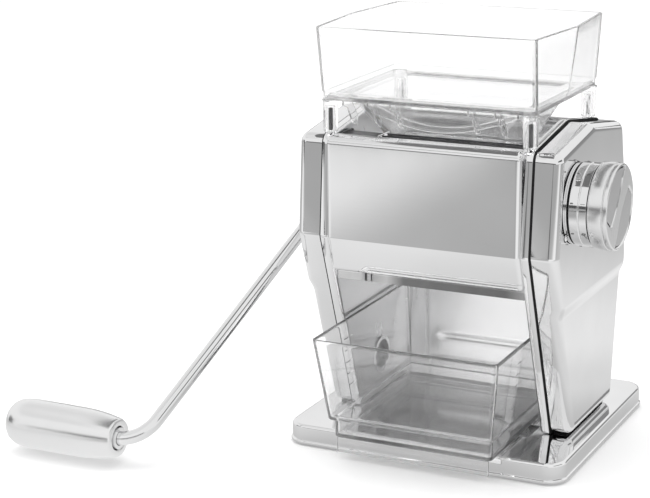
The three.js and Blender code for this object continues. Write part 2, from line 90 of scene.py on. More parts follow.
def add_node(tree, kind, **values):
    """A new shader node with its inputs fed by name."""
    node = tree.nodes.new(f"ShaderNode{kind}")
    put(node, **values)
    return node


def noise(tree, scale, detail=3.0, stretch=(1, 1, 1), roughness=0.5):
    """A noise texture in object coordinates; scale is features per metre."""
    coords = add_node(tree, "TexCoord").outputs["Object"]
    spot = add_node(tree, "Mapping", Scale=stretch, Vector=coords).outputs["Vector"]
    texture = add_node(tree, "TexNoise", Scale=scale, Detail=detail, Roughness=roughness, Vector=spot)
    return texture.outputs["Fac"]


def remap(tree, value, low, high, start=0.3, end=0.7):
    """Maps start..end of a value onto low..high."""
    node = add_node(tree, "MapRange", From_Min=start, From_Max=end, To_Min=low, To_Max=high, Value=value)
    return node.outputs["Result"]


def colour_curve(tree, value, stops, interpolation="LINEAR"):
    """A curve through (position, colour) stops; position is the value itself, 0 to 1."""
    node = add_node(tree, "ValToRGB", Fac=value)
    node.color_ramp.interpolation = interpolation
    band = node.color_ramp.elements
    while len(band) < len(stops):
        band.new(0.5)
    for element, (position, colour) in zip(band, stops):
        element.position = position
        element.color = (*colour, 1)
    return node.outputs["Color"]


def ramp(tree, value, low, high):
    """Blends two colours by a noise value."""
    return colour_curve(tree, value, ((0.3, low), (0.7, high)))


def grey_curve(tree, value, stops, interpolation="EASE"):
    """A curve through (position, grey level) stops."""
    return colour_curve(tree, value, [(at, (level,) * 3) for at, level in stops], interpolation)


def place_xyz(tree):
    """The object coordinates as three sockets."""
    coords = add_node(tree, "TexCoord").outputs["Object"]
    return add_node(tree, "SeparateXYZ", Vector=coords).outputs


def bump(tree, shader, *layers):
    """Chains height layers (value, strength, distance in metres) into the normal."""
    last = None
    for value, strength, distance in layers:
        node = add_node(tree, "Bump", Strength=strength, Distance=distance, Height=value)
        if last is not None:
            put(node, Normal=last)
        last = node.outputs["Normal"]
    put(shader, Normal=last)


def metal(name, dark, light, rough, wave=0.1, grain=(1, 1, 1), grain_scale=900, grain_strength=0.02):
    """Metal with slow waves in the surface, fine grain along one axis and uneven gloss."""
    material, tree, shader = new_material(name)
    cloud = noise(tree, 14, 3)
    smear = noise(tree, 60, 5, (1, 1, 0.35), 0.65)
    lines = noise(tree, grain_scale, 2, grain)
    put(shader, Metallic=1.0, Base_Color=ramp(tree, cloud, dark, light), Roughness=remap(tree, smear, *rough))
    bump(tree, shader, (cloud, wave, 0.0006), (lines, grain_strength, 0.0002))
    return material


def clear(name, tint, rough=(0.0, 0.006)):
    """Clear moulded plastic with faint flow lines."""
    material, tree, shader = new_material(name)
    put(shader, Transmission_Weight=1.0, IOR=1.42, Alpha=0.92)
    flow = noise(tree, 18, 2, (1, 1, 0.4))
    haze = noise(tree, 70, 4)
    put(shader, Base_Color=ramp(tree, flow, tint, (1, 1, 1)), Roughness=remap(tree, haze, *rough, 0.35, 0.8))
    bump(tree, shader, (flow, 0.05, 0.0004))
    return material


def plastic(name, dark, light, rough, scale=800, strength=0.15, specular=0.5):
    """Opaque plastic or rubber with a fine grain."""
    material, tree, shader = new_material(name)
    put(shader, Specular_IOR_Level=specular, Base_Color=ramp(tree, noise(tree, 40, 4), dark, light))
    put(shader, Roughness=remap(tree, noise(tree, 90, 3), *rough))
    bump(tree, shader, (noise(tree, scale, 2), strength, 0.0001))
    return material


def grey(level, cool=0.002):
    """A neutral grey with a little extra blue."""
    return (level, level, level + cool)


# how each finish's grain is stretched
ALONG_X, ALONG_Y, ALONG_Z, ROUND_X = (0.04, 1, 1), (1, 0.04, 1), (1, 1, 0.04), (1, 0.05, 0.05)
WIDE_X, WIDE_Z, WIDE_ROUND = (0.05, 1, 1), (1, 1, 0.05), (1, 0.06, 0.06)
CHROME = metal("chrome_sheet", grey(0.80, 0.003), grey(0.87), (0.03, 0.07), 0.035, WIDE_Z, 700, 0.012)
PANEL = metal("chrome_panel", grey(0.79, 0.003), grey(0.84, 0.003), (0.06, 0.09), 0.02, ALONG_X, 900, 0.02)
INNER = metal("brushed_sheet", grey(0.74), grey(0.78), (0.27, 0.30), 0.01, ALONG_Z, 900, 0.03)
# painted light: a brighter lit copy of the sheet metal for faces inside the mill
BACK_PAINTED_LIGHT = metal("sheet_painted_light", grey(0.91), grey(0.94), (0.17, 0.19), 0.01, ALONG_X, 900, 0.02)
# painted light: a brighter lit copy of the base chrome for the deck under the drawer
DECK_PAINTED_LIGHT = metal("deck_painted_light", grey(0.92), grey(0.95), (0.08, 0.12), 0.01, ALONG_Y, 900, 0.03)
# also painted shade: the guard's dark sheet and ribs use this black
BLACKED_AND_SHADE = metal("blackened_steel_and_painted_shade", grey(0.05), grey(0.09), (0.3, 0.42), 0.02, WIDE_X, 900, 0.05)
TURNED = metal("chrome_turned", grey(0.78, 0.003), grey(0.86, 0.003), (0.05, 0.1), 0.02, WIDE_ROUND, 900)
SATIN = metal("satin_metal", grey(0.78), grey(0.85), (0.20, 0.27), 0.02, ROUND_X, 1200, 0.05)
PAD = metal("satin_pad", grey(0.62), grey(0.68), (0.22, 0.28), 0.02, ROUND_X, 1200, 0.05)
GRIP = metal("satin_grip", grey(0.84), grey(0.88), (0.20, 0.25), 0.01, WIDE_X, 1100, 0.03)
STEEL = metal("machined_steel", grey(0.6, 0.005), grey(0.72, 0.005), (0.22, 0.36), 0.05, WIDE_X, 1000, 0.15)
BRONZE = metal(
    "bearing_bronze", (0.46, 0.33, 0.16), (0.62, 0.47, 0.26), (0.28, 0.42),
    0.05, grain_scale=600, grain_strength=0.12,
)
CLEAR = clear("clear_plastic", grey(0.972, 0.003))
# painted shade: a grey-tinted copy of the clear plastic for edges and corners
EDGE_PAINTED_SHADE = clear("clear_painted_edge_shade", grey(0.42))
# also painted shade: black strips, rings and floors in gaps and recesses use this black
RUBBER_AND_SHADE = plastic("black_rubber_and_painted_shade", grey(0.006, 0.0005), grey(0.016, 0.001), (0.65, 0.85), specular=0.15)
PRINT = plastic("dial_print", grey(0.16, 0), grey(0.24, 0), (0.4, 0.55))


def chute_metal():
    """The chute's strip, with painted reflection and shade in its colour: a painted highlight at its free
    left end, painted shade under the panel.
    """
    material, tree, shader = new_material("chute_metal")
    along = remap(tree, place_xyz(tree)["X"], 0.0, 1.0, *(end * MM for end in box_x("front_chute")))
    shades = grey_curve(tree, along, [
        (0.0, 0.95), (0.13, 0.95), (0.16, 0.3), (0.2, 0.75),
        (0.27, 0.9), (0.36, 0.32), (0.9, 0.3), (1.0, 0.6),
    ], "LINEAR")
    put(shader, Metallic=1.0, Base_Color=shades, Roughness=remap(tree, noise(tree, 80, 3), 0.12, 0.22))
    bump(tree, shader, (noise(tree, 900, 2, ALONG_X), 0.04, 0.0002))
    return material


CHUTE_PAINTED_LIGHT = chute_metal()

dict.fromkeys((CHROME, PANEL, INNER, BACK_PAINTED_LIGHT, DECK_PAINTED_LIGHT, CHUTE_PAINTED_LIGHT, TURNED, SATIN, PAD), "chrome")
dict.fromkeys((STEEL, BLACKED_AND_SHADE), "steel")
dict.fromkeys((RUBBER_AND_SHADE, PRINT), "rubber")


# ---- mesh helpers
def finish_piece(obj, material, body, replaces=()):
    """Gives a piece its material, the body it rides and the nodes it stands for."""
    obj.data.materials.append(material)
    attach(obj, body)
    if replaces:
        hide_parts(*replaces)
    return obj


def object_from(name, bm):
    """Turns a bmesh in millimetres into a smooth-shaded object."""
    bmesh.ops.recalc_face_normals(bm, faces=bm.faces)
    mesh = bpy.data.meshes.new(name)
    bm.to_mesh(mesh)
    bm.free()
    mesh.transform(Matrix.Scale(MM, 4))
    mesh.polygons.foreach_set("use_smooth", [True] * len(mesh.polygons))
    obj = bpy.data.objects.new(name, mesh)
    scene.collection.objects.link(obj)
    return obj


def mesh_object(name, verts, faces):
    """An object from points in millimetres and faces."""
    bm = bmesh.new()
    made = [bm.verts.new(v) for v in verts]
    for face in faces:
        bm.faces.new([made[i] for i in face])
    return object_from(name, bm)


def circle(radius, y, z, sides):
    """Points of a circle across X, as (y, z)."""
    turns = [2 * math.pi * k / sides for k in range(sides)]
    return [(y + radius * math.cos(t), z + radius * math.sin(t)) for t in turns]


def second_material(obj, material, is_second):
    """Gives another material to the faces that is_second(centre in mm, normal) picks."""
    obj.data.materials.append(material)
    for face in obj.data.polygons:
        if is_second(face.center / MM, face.normal):
            face.material_index = 1


def soften(obj, width=0.4, segments=2, angle=30):
    """Rounds the edges a little."""
    modifier = obj.modifiers.new("edges", "BEVEL")
    modifier.width = width * MM
    modifier.segments = segments
    modifier.limit_method = "ANGLE"
    modifier.angle_limit = math.radians(angle)
    modifier.harden_normals = False
    return weight(obj)


def weight(obj):
    """Keeps the broad faces flat in the shading."""
    modifier = obj.modifiers.new("normals", "WEIGHTED_NORMAL")
    modifier.keep_sharp = True
    modifier.weight = 80
    return obj


def thicken(obj, thickness, offset=-1, even=True):
    """Makes a skin into a sheet."""
    modifier = obj.modifiers.new("sheet", "SOLIDIFY")
    modifier.thickness = thickness * MM
    modifier.offset = offset
    modifier.use_even_offset = even
    return obj


def freeze(obj):
    """Applies an object's modifiers so far."""
    graph = bpy.context.evaluated_depsgraph_get()
    mesh = bpy.data.meshes.new_from_object(obj.evaluated_get(graph))
    obj.modifiers.clear()
    old = obj.data
    obj.data = mesh
    bpy.data.meshes.remove(old)
    mesh.polygons.foreach_set("use_smooth", [True] * len(mesh.polygons))
    return obj


def carve(obj, *cutters):
    """Cuts the cutters out of obj and removes them."""
    for cutter in cutters:
        modifier = obj.modifiers.new("cut", "BOOLEAN")
        modifier.operation = "DIFFERENCE"
        modifier.solver = "EXACT"
        modifier.object = cutter
    freeze(obj)
    for cutter in cutters:
        bpy.data.meshes.remove(cutter.data)
    return obj


def drum(radius, x0, x1, y, z, sides=64):
    """A cutter: a cylinder along X."""
    ring = circle(radius, y, z, sides)
    verts = [(x, a, b) for x in (x0, x1) for a, b in ring]
    faces = [tuple(range(sides)), tuple(range(sides, 2 * sides))]
    faces += [(i, (i + 1) % sides, sides + (i + 1) % sides, sides + i) for i in range(sides)]
    return mesh_object("cutter", verts, faces)


def brick(low, high):
    """A plain block, as a cutter or to be softened."""
    verts = [(x, y, z) for x in (low[0], high[0]) for y in (low[1], high[1]) for z in (low[2], high[2])]
    faces = [(0, 1, 3, 2), (4, 6, 7, 5), (0, 4, 5, 1), (2, 3, 7, 6), (0, 2, 6, 4), (1, 5, 7, 3)]
    return mesh_object("cutter", verts, faces)


def filleted(corners, steps=8, closed=True):
    """Rounds the corners (a, b, radius) of an outline; a negative radius is a soft kink of that reach."""
    points = []
    last = len(corners) - 1
    for i, (a, b, radius) in enumerate(corners):
        here = Vector((a, b))
        if not closed and i in (0, last) or radius == 0:
            points.append(here)
            continue
        before = (Vector(corners[i - 1][:2]) - here).normalized()
        after = (Vector(corners[(i + 1) % len(corners)][:2]) - here).normalized()
        if radius < 0:
            for k in range(steps + 1):
                t = k / steps
                points.append(here - (before * (1 - t) ** 2 + after * t ** 2) * radius)
            continue
        half = before.angle(after) / 2
        reach = radius / math.tan(half)
        middle = (before + after).normalized()
        centre = here + middle * (radius / math.sin(half))
        start, end = here + before * reach - centre, here + after * reach - centre
        sweep = start.angle_signed(end)
        for k in range(steps + 1):
            turn = Matrix.Rotation(-sweep * k / steps, 2)
            points.append(centre + turn @ start)
    return points


def loft(name, rings, closed=False, caps=(True, True)):
    """A skin over rings of equal length; a closed loft joins its last ring to its first."""
    count = len(rings[0])
    verts = [p for ring in rings for p in ring]
    faces = []
    for r in range(len(rings) if closed else len(rings) - 1):
        base, above = r * count, (r + 1) % len(rings) * count
        for i in range(count):
            j = (i + 1) % count
            faces.append((base + i, base + j, above + j, above + i))
    if not closed and caps[0]:
        faces.append(tuple(reversed(range(count))))
    if not closed and caps[1]:
        faces.append(tuple(range(len(verts) - count, len(verts))))
    return mesh_object(name, verts, faces)


def plan_ring(front, back, half, z, corner, mid=None, back_half=None, steps=6):
    """A level ring in plan whose sides may kink out at the middle."""
    back_half = half if back_half is None else back_half
    mid = (half + back_half) / 2 if mid is None else mid
    centre = (front + back) / 2
    corners = [
        (-half, front, corner), (half, front, corner), (mid, centre, -1.2),
        (back_half, back, corner), (-back_half, back, corner), (-mid, centre, -1.2),
    ]
    return [(p.x, p.y, z) for p in filleted(corners, steps)]


def join_rows(bm, pairs):
    """Faces between pairs of closed rows of points; a row may be one point repeated."""
    for a, b in pairs:
        for k in range(len(a)):
            m = (k + 1) % len(a)
            face = list(dict.fromkeys([a[k], a[m], b[m], b[k]]))
            if len(face) > 2:
                bm.faces.new(face)


def turned(name, profile, y, z, sides=96, closed=False):
    """A body of revolution about an axis parallel to X, from (x, radius) points."""
    bm = bmesh.new()
    rows = []
    for x, radius in profile:
        if radius < 1e-6:
            rows.append([bm.verts.new((x, y, z))] * sides)
        else:
            rows.append([bm.verts.new((x, a, b)) for a, b in circle(radius, y, z, sides)])
    join_rows(bm, list(zip(rows, rows[1:])) + ([(rows[-1], rows[0])] if closed else []))
    return object_from(name, bm)


def rounded_profile(points, radius=0.5, steps=3):
    """Rounds the inner corners of an open (x, radius) profile."""
    corners = [(a, b, radius) for a, b in points]
    return [(p.x, p.y) for p in filleted(corners, steps, closed=False)]


def tube(name, points, radius, sides=32):
    """A round rod along points, with its ends capped."""
    rings = []
    up = None
    for i, point in enumerate(points):
        tangent = (points[min(i + 1, len(points) - 1)] - points[max(i - 1, 0)]).normalized()
        if up is None:
            up = tangent.orthogonal().normalized()
        up = (up - tangent * up.dot(tangent)).normalized()
        side = tangent.cross(up)
        rings.append([tuple(point + up * a + side * b) for a, b in circle(radius, 0, 0, sides)])
    return loft(name, rings)


def smooth_step(value, start, end):
    """0 at start, 1 at end, with a soft curve between."""
    t = min(max((value - start) / (end - start), 0.0), 1.0)
    return t * t * (3 - 2 * t)


# ---- shared sizes, from the frame
COVER_IN, COVER_OUT = box_x("cover_right")
PLATE_IN, PLATE_OUT = box_x("side_plate_right")
PANEL_HALF = box_x("front_panel")[1]
STEP_TOP, STEP_FOOT = 116.6, 109.8
# the outline of plates and covers seen from the side: y, z, corner radius
SIDE = [
    (-40.5, 15.9, 3), (49, 15.9, 3), (65, 122, 14), (57.2, 191, 40),
    (50, 223.4, 10), (-17, 233.8, 24), (-84, 224, 8), (-90, 154, 6),
]


def axis_of(node):
    """The (y, z) centre of a round node that lies along X."""
    low, high = box_mm(node)
    return (low[1] + high[1]) / 2, (low[2] + high[2]) / 2


DIAL_Y, DIAL_Z = axis_of("dial_ring")
HUB_Y, HUB_Z = axis_of("crank_grommet")
FEED_Y, FEED_Z = axis_of("feed_bush_right")
EYE_Y, EYE_Z = axis_of("plate_eyelet_right")
GRIP_Y, GRIP_Z = axis_of("crank_grip")


# ---- covers and side plates
def inset(points, distance):
    """Moves a closed outline inward, each point along its mean normal."""
    moved = []
    for i, here in enumerate(points):
        before, after = points[i - 1], points[(i + 1) % len(points)]
        spans = [span for span in (here - before, after - here) if span.length > 1e-6]
        normals = [Vector((-span.y, span.x)).normalized() for span in spans]
        mean = sum(normals, Vector((0, 0))).normalized()
        moved.append(here + mean * (distance / max(mean.dot(normals[0]), 0.3)))
    return moved


def side_shell(name, outer, inner, edge, sheet, step=0.0, foot=3.0, lip=0.0):
    """A pressed pan: a face at x = outer with a wall round it back to x = inner."""
    corners = [(y, z, max(r, foot)) for y, z, r in SIDE]
    outline = inset(filleted(corners, 10), lip)
    bm = bmesh.new()
    face_ring = [bm.verts.new((outer, p.x, p.y)) for p in outline]
    wall_ring = [bm.verts.new((inner, p.x, p.y)) for p in outline]
    bm.faces.new(face_ring)
    for i in range(len(outline)):
        j = (i + 1) % len(outline)
        bm.faces.new((face_ring[i], wall_ring[i], wall_ring[j], face_ring[j]))
    if step:
        for level in (STEP_TOP, STEP_FOOT):
            geometry = bm.verts[:] + bm.edges[:] + bm.faces[:]
            bmesh.ops.bisect_plane(bm, geom=geometry, plane_co=(0, 0, level), plane_no=(0, 0, 1))
        for vert in bm.verts:
            if abs(vert.co.x - outer) < 0.01 and vert.co.z < STEP_FOOT + 0.1:
                vert.co.x -= step
    bm.normal_update()
    direction = 1 if outer > inner else -1
    rim = [
        e for e in bm.edges
        if len(e.link_faces) == 2 and max(abs(f.normal.x) for f in e.link_faces) > 0.7
        and min(abs(f.normal.x) for f in e.link_faces) < 0.3
        and all(direction * (v.co.x - inner) > 1 for v in e.verts)
    ]
    bmesh.ops.bevel(bm, geom=rim, offset=edge, segments=8, profile=0.5, affect="EDGES")
    if step:
        creases = [
            e for e in bm.edges
            if len(e.link_faces) == 2 and 0.1 < e.calc_face_angle() < 1.0
            and all(min(abs(v.co.z - STEP_TOP), abs(v.co.z - STEP_FOOT)) < 0.2 for v in e.verts)
            and abs(e.verts[0].co.z - e.verts[1].co.z) < 0.2
            and min(abs(f.normal.x) for f in e.link_faces) > 0.7
        ]
        bmesh.ops.bevel(
            bm, geom=creases, offset=2.2, segments=4, profile=0.5, affect="EDGES", clamp_overlap=True,
        )
    obj = object_from(name, bm)
    return freeze(thicken(obj, sheet))


def mirror_x(obj):
    """Swaps left and right."""
    bm = bmesh.new()
    bm.from_mesh(obj.data)
    for vert in bm.verts:
        vert.co.x = -vert.co.x
    bmesh.ops.reverse_faces(bm, faces=bm.faces)
    bm.to_mesh(obj.data)
    bm.free()
    return obj


for side, sign in (("left", -1), ("right", 1)):
    shell = side_shell(
        f"cover_{side}_shell", COVER_OUT, COVER_IN, edge=6.4, sheet=1.5, step=2.8, foot=8.0, lip=1.2,
    )
    hole = (13, HUB_Y, HUB_Z) if sign < 0 else (7.6, DIAL_Y, DIAL_Z)
    carve(shell, drum(hole[0], 80, 100, hole[1], hole[2]))
    if sign < 0:
        mirror_x(shell)
    finish_piece(weight(shell), CHROME, "frame", [f"cover_{side}"])

    plate = side_shell(f"side_plate_{side}_sheet", PLATE_IN, PLATE_OUT, edge=2.2, sheet=1.7)
    window = brick((60, -77, 173.7), (73, -36.2, 196.3))
    bores = [(12, EYE_Y, EYE_Z), (11.9, HUB_Y, HUB_Z), (8.9, FEED_Y, FEED_Z)]
    rod_holes = [(2.8, y, z) for y, z in ((-74, 207), (-70, 138), (40, 205), (50, 125))]
    large = [drum(radius, 60, 73, y, z) for radius, y, z in bores]
    small = [drum(radius, 60, 73, y, z, 24) for radius, y, z in rod_holes]
    carve(plate, *large, window, *small)
    if sign < 0:
        mirror_x(plate)
    finish_piece(weight(plate), CHROME, "frame", [f"side_plate_{side}"])
    second_material(plate, INNER, lambda at, normal, sign=sign: normal.x * sign < -0.8)

    # painted shade: a black strip fills the gap between plate and cover in place of the gap's shadow,
    # standing level with the plate's edge
    outer = filleted([(y, z, max(r, 3)) for y, z, r in SIDE], 10)
    section = [(PLATE_OUT + 0.05, 3.4), (PLATE_OUT + 0.05, 0.1)]
    section += [(COVER_IN - 0.3, 0.1), (COVER_IN - 0.05, 0.35), (COVER_IN - 0.05, 3.4)]
    rings = [[(sign * x, p.x, p.y) for p in inset(outer, depth)] for x, depth in section]
    gap_shade = loft(f"cover_gap_shade_{side}", rings, closed=True)
    finish_piece(gap_shade, RUBBER_AND_SHADE, "frame")

    # painted shade: a black strip under each cover's foot stands for the shadow gap over the base
    inner_x, outer_x = sorted((sign * (COVER_IN + 0.6), sign * (COVER_OUT - 8)))
    foot = brick((inner_x, -36.5, 15.56), (outer_x, 44.5, 16.6))
    foot.name = f"cover_foot_gap_shade_{side}"
    finish_piece(soften(foot, 0.3), RUBBER_AND_SHADE, "frame")


# ---- front panel, back panel and the strip below
def folded_panel(name, line, half, thickness, depth_at, columns, end_radius=1.6, return_depth=4.0, inward=1):
    """A sheet along X over a folded (y, z) line; depth_at(x, y, z) sinks its face, and its ends turn back."""
    normals = []
    for i, point in enumerate(line):
        a, b = line[max(i - 1, 0)], line[min(i + 1, len(line) - 1)]
        tangent = (b - a).normalized()
        normals.append(Vector((-tangent.y, tangent.x)) * inward)
    offsets = []
    for k in range(7):
        turn = math.pi / 2 * k / 6
        offsets.append((half - end_radius + end_radius * math.sin(turn), end_radius * (1 - math.cos(turn))))
    offsets.append((half, return_depth))
    inner = half - end_radius
    middle = [(-inner + 2 * inner * k / columns, 0.0) for k in range(columns + 1)]
    span = [(-x, d) for x, d in reversed(offsets[1:])] + middle + offsets[1:]
    verts, faces = [], []
    for x, depth in span:
        for point, normal in zip(line, normals):
            sink = depth + depth_at(x, point.x, point.y)
            verts.append((x, point.x + normal.x * sink, point.y + normal.y * sink))
    rows = len(line)
    for c in range(0, (len(span) - 1) * rows, rows):
        faces += [(c + r, c + rows + r, c + rows + r + 1, c + r + 1) for r in range(rows - 1)]
    obj = mesh_object(name, verts, faces)
    return freeze(thicken(obj, thickness, 1 if inward > 0 else -1, even=False))


def densify(line, step):
    """Adds points so that no stretch of the line is longer than step."""
    points = [line[0]]
    for a, b in zip(line, line[1:]):
        parts = max(1, math.ceil((b - a).length / step))
        points += [a.lerp(b, k / parts) for k in range(1, parts + 1)]
    return points


def graded(line, step_at):
    """Densifies a line with a step of its own for each stretch, and drops points that nearly coincide."""
    points = []
    for a, b in zip(line, line[1:]):
        points += densify([a, b], step_at(a, b))[:-1]
    points.append(line[-1])
    return [p for i, p in enumerate(points) if i == 0 or (p - points[i - 1]).length > 0.12]


def front_recess(x, y, z):
    """A fine crease low on the panel that curves down at the left, and two fine grooves by the top fold."""
    if z < 140:
        level = 131.0 + 3.8 * smooth_step(x, -48.5, -40.5)
        return 0.22 * math.exp(-((z - level) / 0.5) ** 2) * smooth_step(x, -49.5, -47.0)
    return sum(0.3 * math.exp(-((z - level) / 0.42) ** 2) for level in (220.9, 217.6)) if y < -84 else 0.0


front_line = filleted([
    (-76.4, 222.9, 0), (-90.6, 224.3, 4.6), (-90.6, 154.0, 1.5), (-83.7, 130.4, 1.9), (-80.9, 130.9, 0),
], 10, closed=False)


def front_step(a, b):
    """Fine rows at the grooves, the crease and the low fold."""
    low = min(a.y, b.y)
    return 0.3 if low > 215 or 130 < low < 137 or 150 < low < 160 else 6.0


front_rows = graded(densify(front_line, 6.0), front_step)
front_panel = folded_panel("front_panel_sheet", front_rows, PANEL_HALF, 1.3, front_recess, 136)
finish_piece(weight(front_panel), PANEL, "frame", ["front_panel"])


def back_recess(x, y, z):
    """A long shallow rib across the back sheet, low down."""
    along = smooth_step(x, -45, -39) * smooth_step(x, 45, 39)
    return 0.9 * along * math.exp(-((z - 47.5) / 2.1) ** 2)


back_line = filleted([
    (37.3, 16.4, 0), (41.1, 16.4, 2.5), (58.6, 116, 12), (53, 188, 20), (44.4, 221.4, 5), (36.4, 222.2, 0),
], 8, closed=False)


def back_step(a, b):
    """Fine rows at the rib."""
    return 0.8 if 38 < a.y < 58 or (a.y < 38 and b.y > 50) else 6.0


back_rows = graded(back_line, back_step)
back_panel = folded_panel("back_panel_sheet", back_rows, PANEL_HALF, 1.3, back_recess, 40, 1.2, 3.0, -1)
finish_piece(weight(back_panel), CHROME, "frame", ["back_panel"])
# painted light: the back sheet's inner face gets the brighter lit copy
second_material(back_panel, BACK_PAINTED_LIGHT, lambda at, normal: normal.y < -0.3)

# the guard behind the panel's top fold, as painted shade: a blackened sheet on the left stands for the dark
# opening between the rollers, and a sheet on the right carries dark ribs that stand for dark lines behind the
# fold
GUARD_TOP = 222.6
guard_line = filleted([
    (-75.4, 218.0, 0), (-74.6, GUARD_TOP, 1.4), (-55.2, GUARD_TOP - 0.2, 1.4), (-54.4, 218.0, 0),
], 5, closed=False)
for name, centre, half, material in (("guard_painted_shade", -53.2, 13.2, BLACKED_AND_SHADE), ("guard_sheet", 13.6, 52.6, BACK_PAINTED_LIGHT)):
    guard = folded_panel(name, guard_line, half, 0.8, lambda x, y, z: 0.0, 12, 0.8, 1.6)
    guard.data.transform(Matrix.Translation((centre * MM, 0, 0)))
    finish_piece(weight(guard), material, "frame")
for index in range(2):
    rib_line = [Vector((x, -70.2 + 8.6 * index, GUARD_TOP + 0.6)) for x in (-37.5, 15, 65.5)]
    finish_piece(tube(f"guard_painted_shade_rib_{index + 1}", rib_line, 0.7, 14), BLACKED_AND_SHADE, "frame")

chute_low = box_mm("front_chute")[0]
# painted shade: a thin black rod under the panel's bottom lip stands for the shadow gap over the chute
gap_shade_line = [Vector((x, -82.4, 129.75)) for x in (-42, 10, PANEL_HALF - 0.4)]
finish_piece(tube("panel_edge_gap_shade", gap_shade_line, 0.5, 12), RUBBER_AND_SHADE, "frame")
for index, (x0, x1) in enumerate(((-49.6, -47.4), (-45.4, -43.0))):
    front, low = chute_low[1], chute_low[2]
    tab = brick((x0, front - 0.2, low + 0.2), (x1, front + 1.0, low + 8.2))
    tab.name = f"chute_tab_{index + 1}"
    finish_piece(soften(tab, 0.35), STEEL, "frame")


# ---- base
BASE_X, BASE_Y, BASE_TOP = [size - out for size, out in zip(box_mm("base_plate")[1], (1.0, 1.0, 0.0))]
BASE_EDGE, DECK_HALF = 2.6, 67.0


def base_ring(grow, z):
    """The base's outline at one level, grown outward."""
    half_x, half_y, radius = BASE_X + grow, BASE_Y + grow, 14 + grow
    corners = [(sx * half_x, sy * half_y, radius) for sx, sy in ((-1, -1), (1, -1), (1, 1), (-1, 1))]
    return [(p.x, p.y, z) for p in filleted(corners, 14)]


# the bead at the foot, the groove over it, the wall and the rounded top edge: outward growth, z
levels = [(0.9, 1.7), (1.0, 2.2), (1.0, 3.1), (0.7, 3.6), (-0.4, 3.9), (-0.4, 4.3), (0.0, 4.6), (0.0, 8.5)]
levels.append((0.0, BASE_TOP - BASE_EDGE))
for k in range(1, 8):
    turn = math.pi / 2 * k / 7
    levels.append((-BASE_EDGE * (1 - math.cos(turn)), BASE_TOP - BASE_EDGE + BASE_EDGE * math.sin(turn)))
base = loft("base_tray", [base_ring(grow, z) for grow, z in levels], caps=(False, True))
freeze(thicken(base, 1.7))
socket_low, socket_high = box_mm("clamp_socket")
slot_low = (socket_low[0] + 2, socket_low[1] + 2, 9.0)
slot_high = (socket_high[0] - 2, socket_high[1] - 2, BASE_TOP + 3)
carve(base, brick(slot_low, slot_high))
deck = bmesh.new()
deck.from_mesh(base.data)
for side in (-1, 1):
    geometry = deck.verts[:] + deck.edges[:] + deck.faces[:]
    bmesh.ops.bisect_plane(deck, geom=geometry, plane_co=(side * DECK_HALF * MM, 0, 0), plane_no=(1, 0, 0))
deck.to_mesh(base.data)
deck.free()
finish_piece(weight(base), CHROME, "frame", ["base_plate"])
# painted light: the base top under the drawer gets the brighter lit copy
second_material(base, DECK_PAINTED_LIGHT, lambda at, normal: (
    normal.z > 0.9 and abs(at.x) < DECK_HALF - 0.5 and at.z > BASE_TOP - 0.5))


# ---- dial
ring_out = box_x("dial_ring")[1]
knob_in, knob_out = box_x("dial_knob")
KNOB_R, BAND_R = 29.5, 28.0
FACE_X = knob_out + 2.0
LEAN = math.radians(36)
ALONG = Vector((math.sin(LEAN), math.cos(LEAN)))
ACROSS = Vector((math.cos(LEAN), -math.sin(LEAN)))
seat_in, seat_out = COVER_OUT + 0.02, ring_out - 0.4
seat = turned("dial_seat_ring", rounded_profile([
    (seat_in, 8), (seat_in, 27.2), (seat_out - 0.2, 27.2), (seat_out, 27), (seat_out, 8),
], 0.15), DIAL_Y, DIAL_Z, 128)
finish_piece(weight(seat), TURNED, "frame", ["dial_ring"])
# painted shade: a black ring fills the recessed gap between the seat ring and the knob
gap = turned("dial_gap_shade_ring", rounded_profile([
    (ring_out - 0.38, 9), (ring_out - 0.38, 27.3), (knob_in - 0.04, 27.5), (knob_in - 0.04, 9),
], 0.1), DIAL_Y, DIAL_Z, 128, closed=True)
finish_piece(gap, RUBBER_AND_SHADE, "frame")

band = turned("dial_band", rounded_profile([
    (knob_in, 6.6), (knob_in, 27.0), (knob_in + 0.35, 27.2), (knob_in + 0.9, BAND_R), (103.4, BAND_R),
    (103.8, 27.5), (104.3, 27.4), (104.7, 27.9), (109.4, 27.7), (109.8, 26.8), (110.4, 26.8), (110.4, 7.0),
], 0.25), DIAL_Y, DIAL_Z, 128)
finish_piece(weight(band), TURNED, "dial_knob", ["dial_knob"])


def bar_half(along, plain):
    """Half the width of the waisted grip bar at a distance along it."""
    return plain + 2.6 * min(abs(along) / 18, 1.0) ** 2


def dial_face():
    """The wide rim and the face: a waisted grip bar left standing between two sunk pockets."""
    sides = 240
    outer = [
        (0.15, 28.4), (0.5, 28.8), (1.0, 29.0), (2.6, 29.1), (3.1, 29.0), (3.3, 28.6), (3.7, 28.5),
        (4.0, 28.9), (4.2, KNOB_R - 0.1), (8, KNOB_R + 0.05), (12.6, KNOB_R - 0.15),
        (13.3, KNOB_R - 0.8), (13.5, KNOB_R - 2.0), (13.5, 7.0),
    ]
    bm = bmesh.new()
    rows = [[bm.verts.new((FACE_X, DIAL_Y, DIAL_Z))] * sides]
    for radius in [0.4 * k for k in range(1, 71)]:
        row = []
        for y, z in circle(radius, 0, 0, sides):
            p = Vector((y, z))
            s, c = p.dot(ALONG), p.dot(ACROSS)
            half = bar_half(s, 4.8)
            end = -s if c < 0 else s
            sunk = smooth_step(abs(c), half, half + 0.9) * smooth_step(radius, 27.6, 26.9)
            sunk *= smooth_step(end, 19.6, 18.7)
            row.append(bm.verts.new((FACE_X - 1.2 * sunk, DIAL_Y + y, DIAL_Z + z)))
        rows.append(row)
    for behind, radius in outer:
        rows.append([bm.verts.new((FACE_X - behind, y, z)) for y, z in circle(radius, DIAL_Y, DIAL_Z, sides)])
    join_rows(bm, zip(rows, rows[1:]))
    return object_from("dial_grip_face", bm)


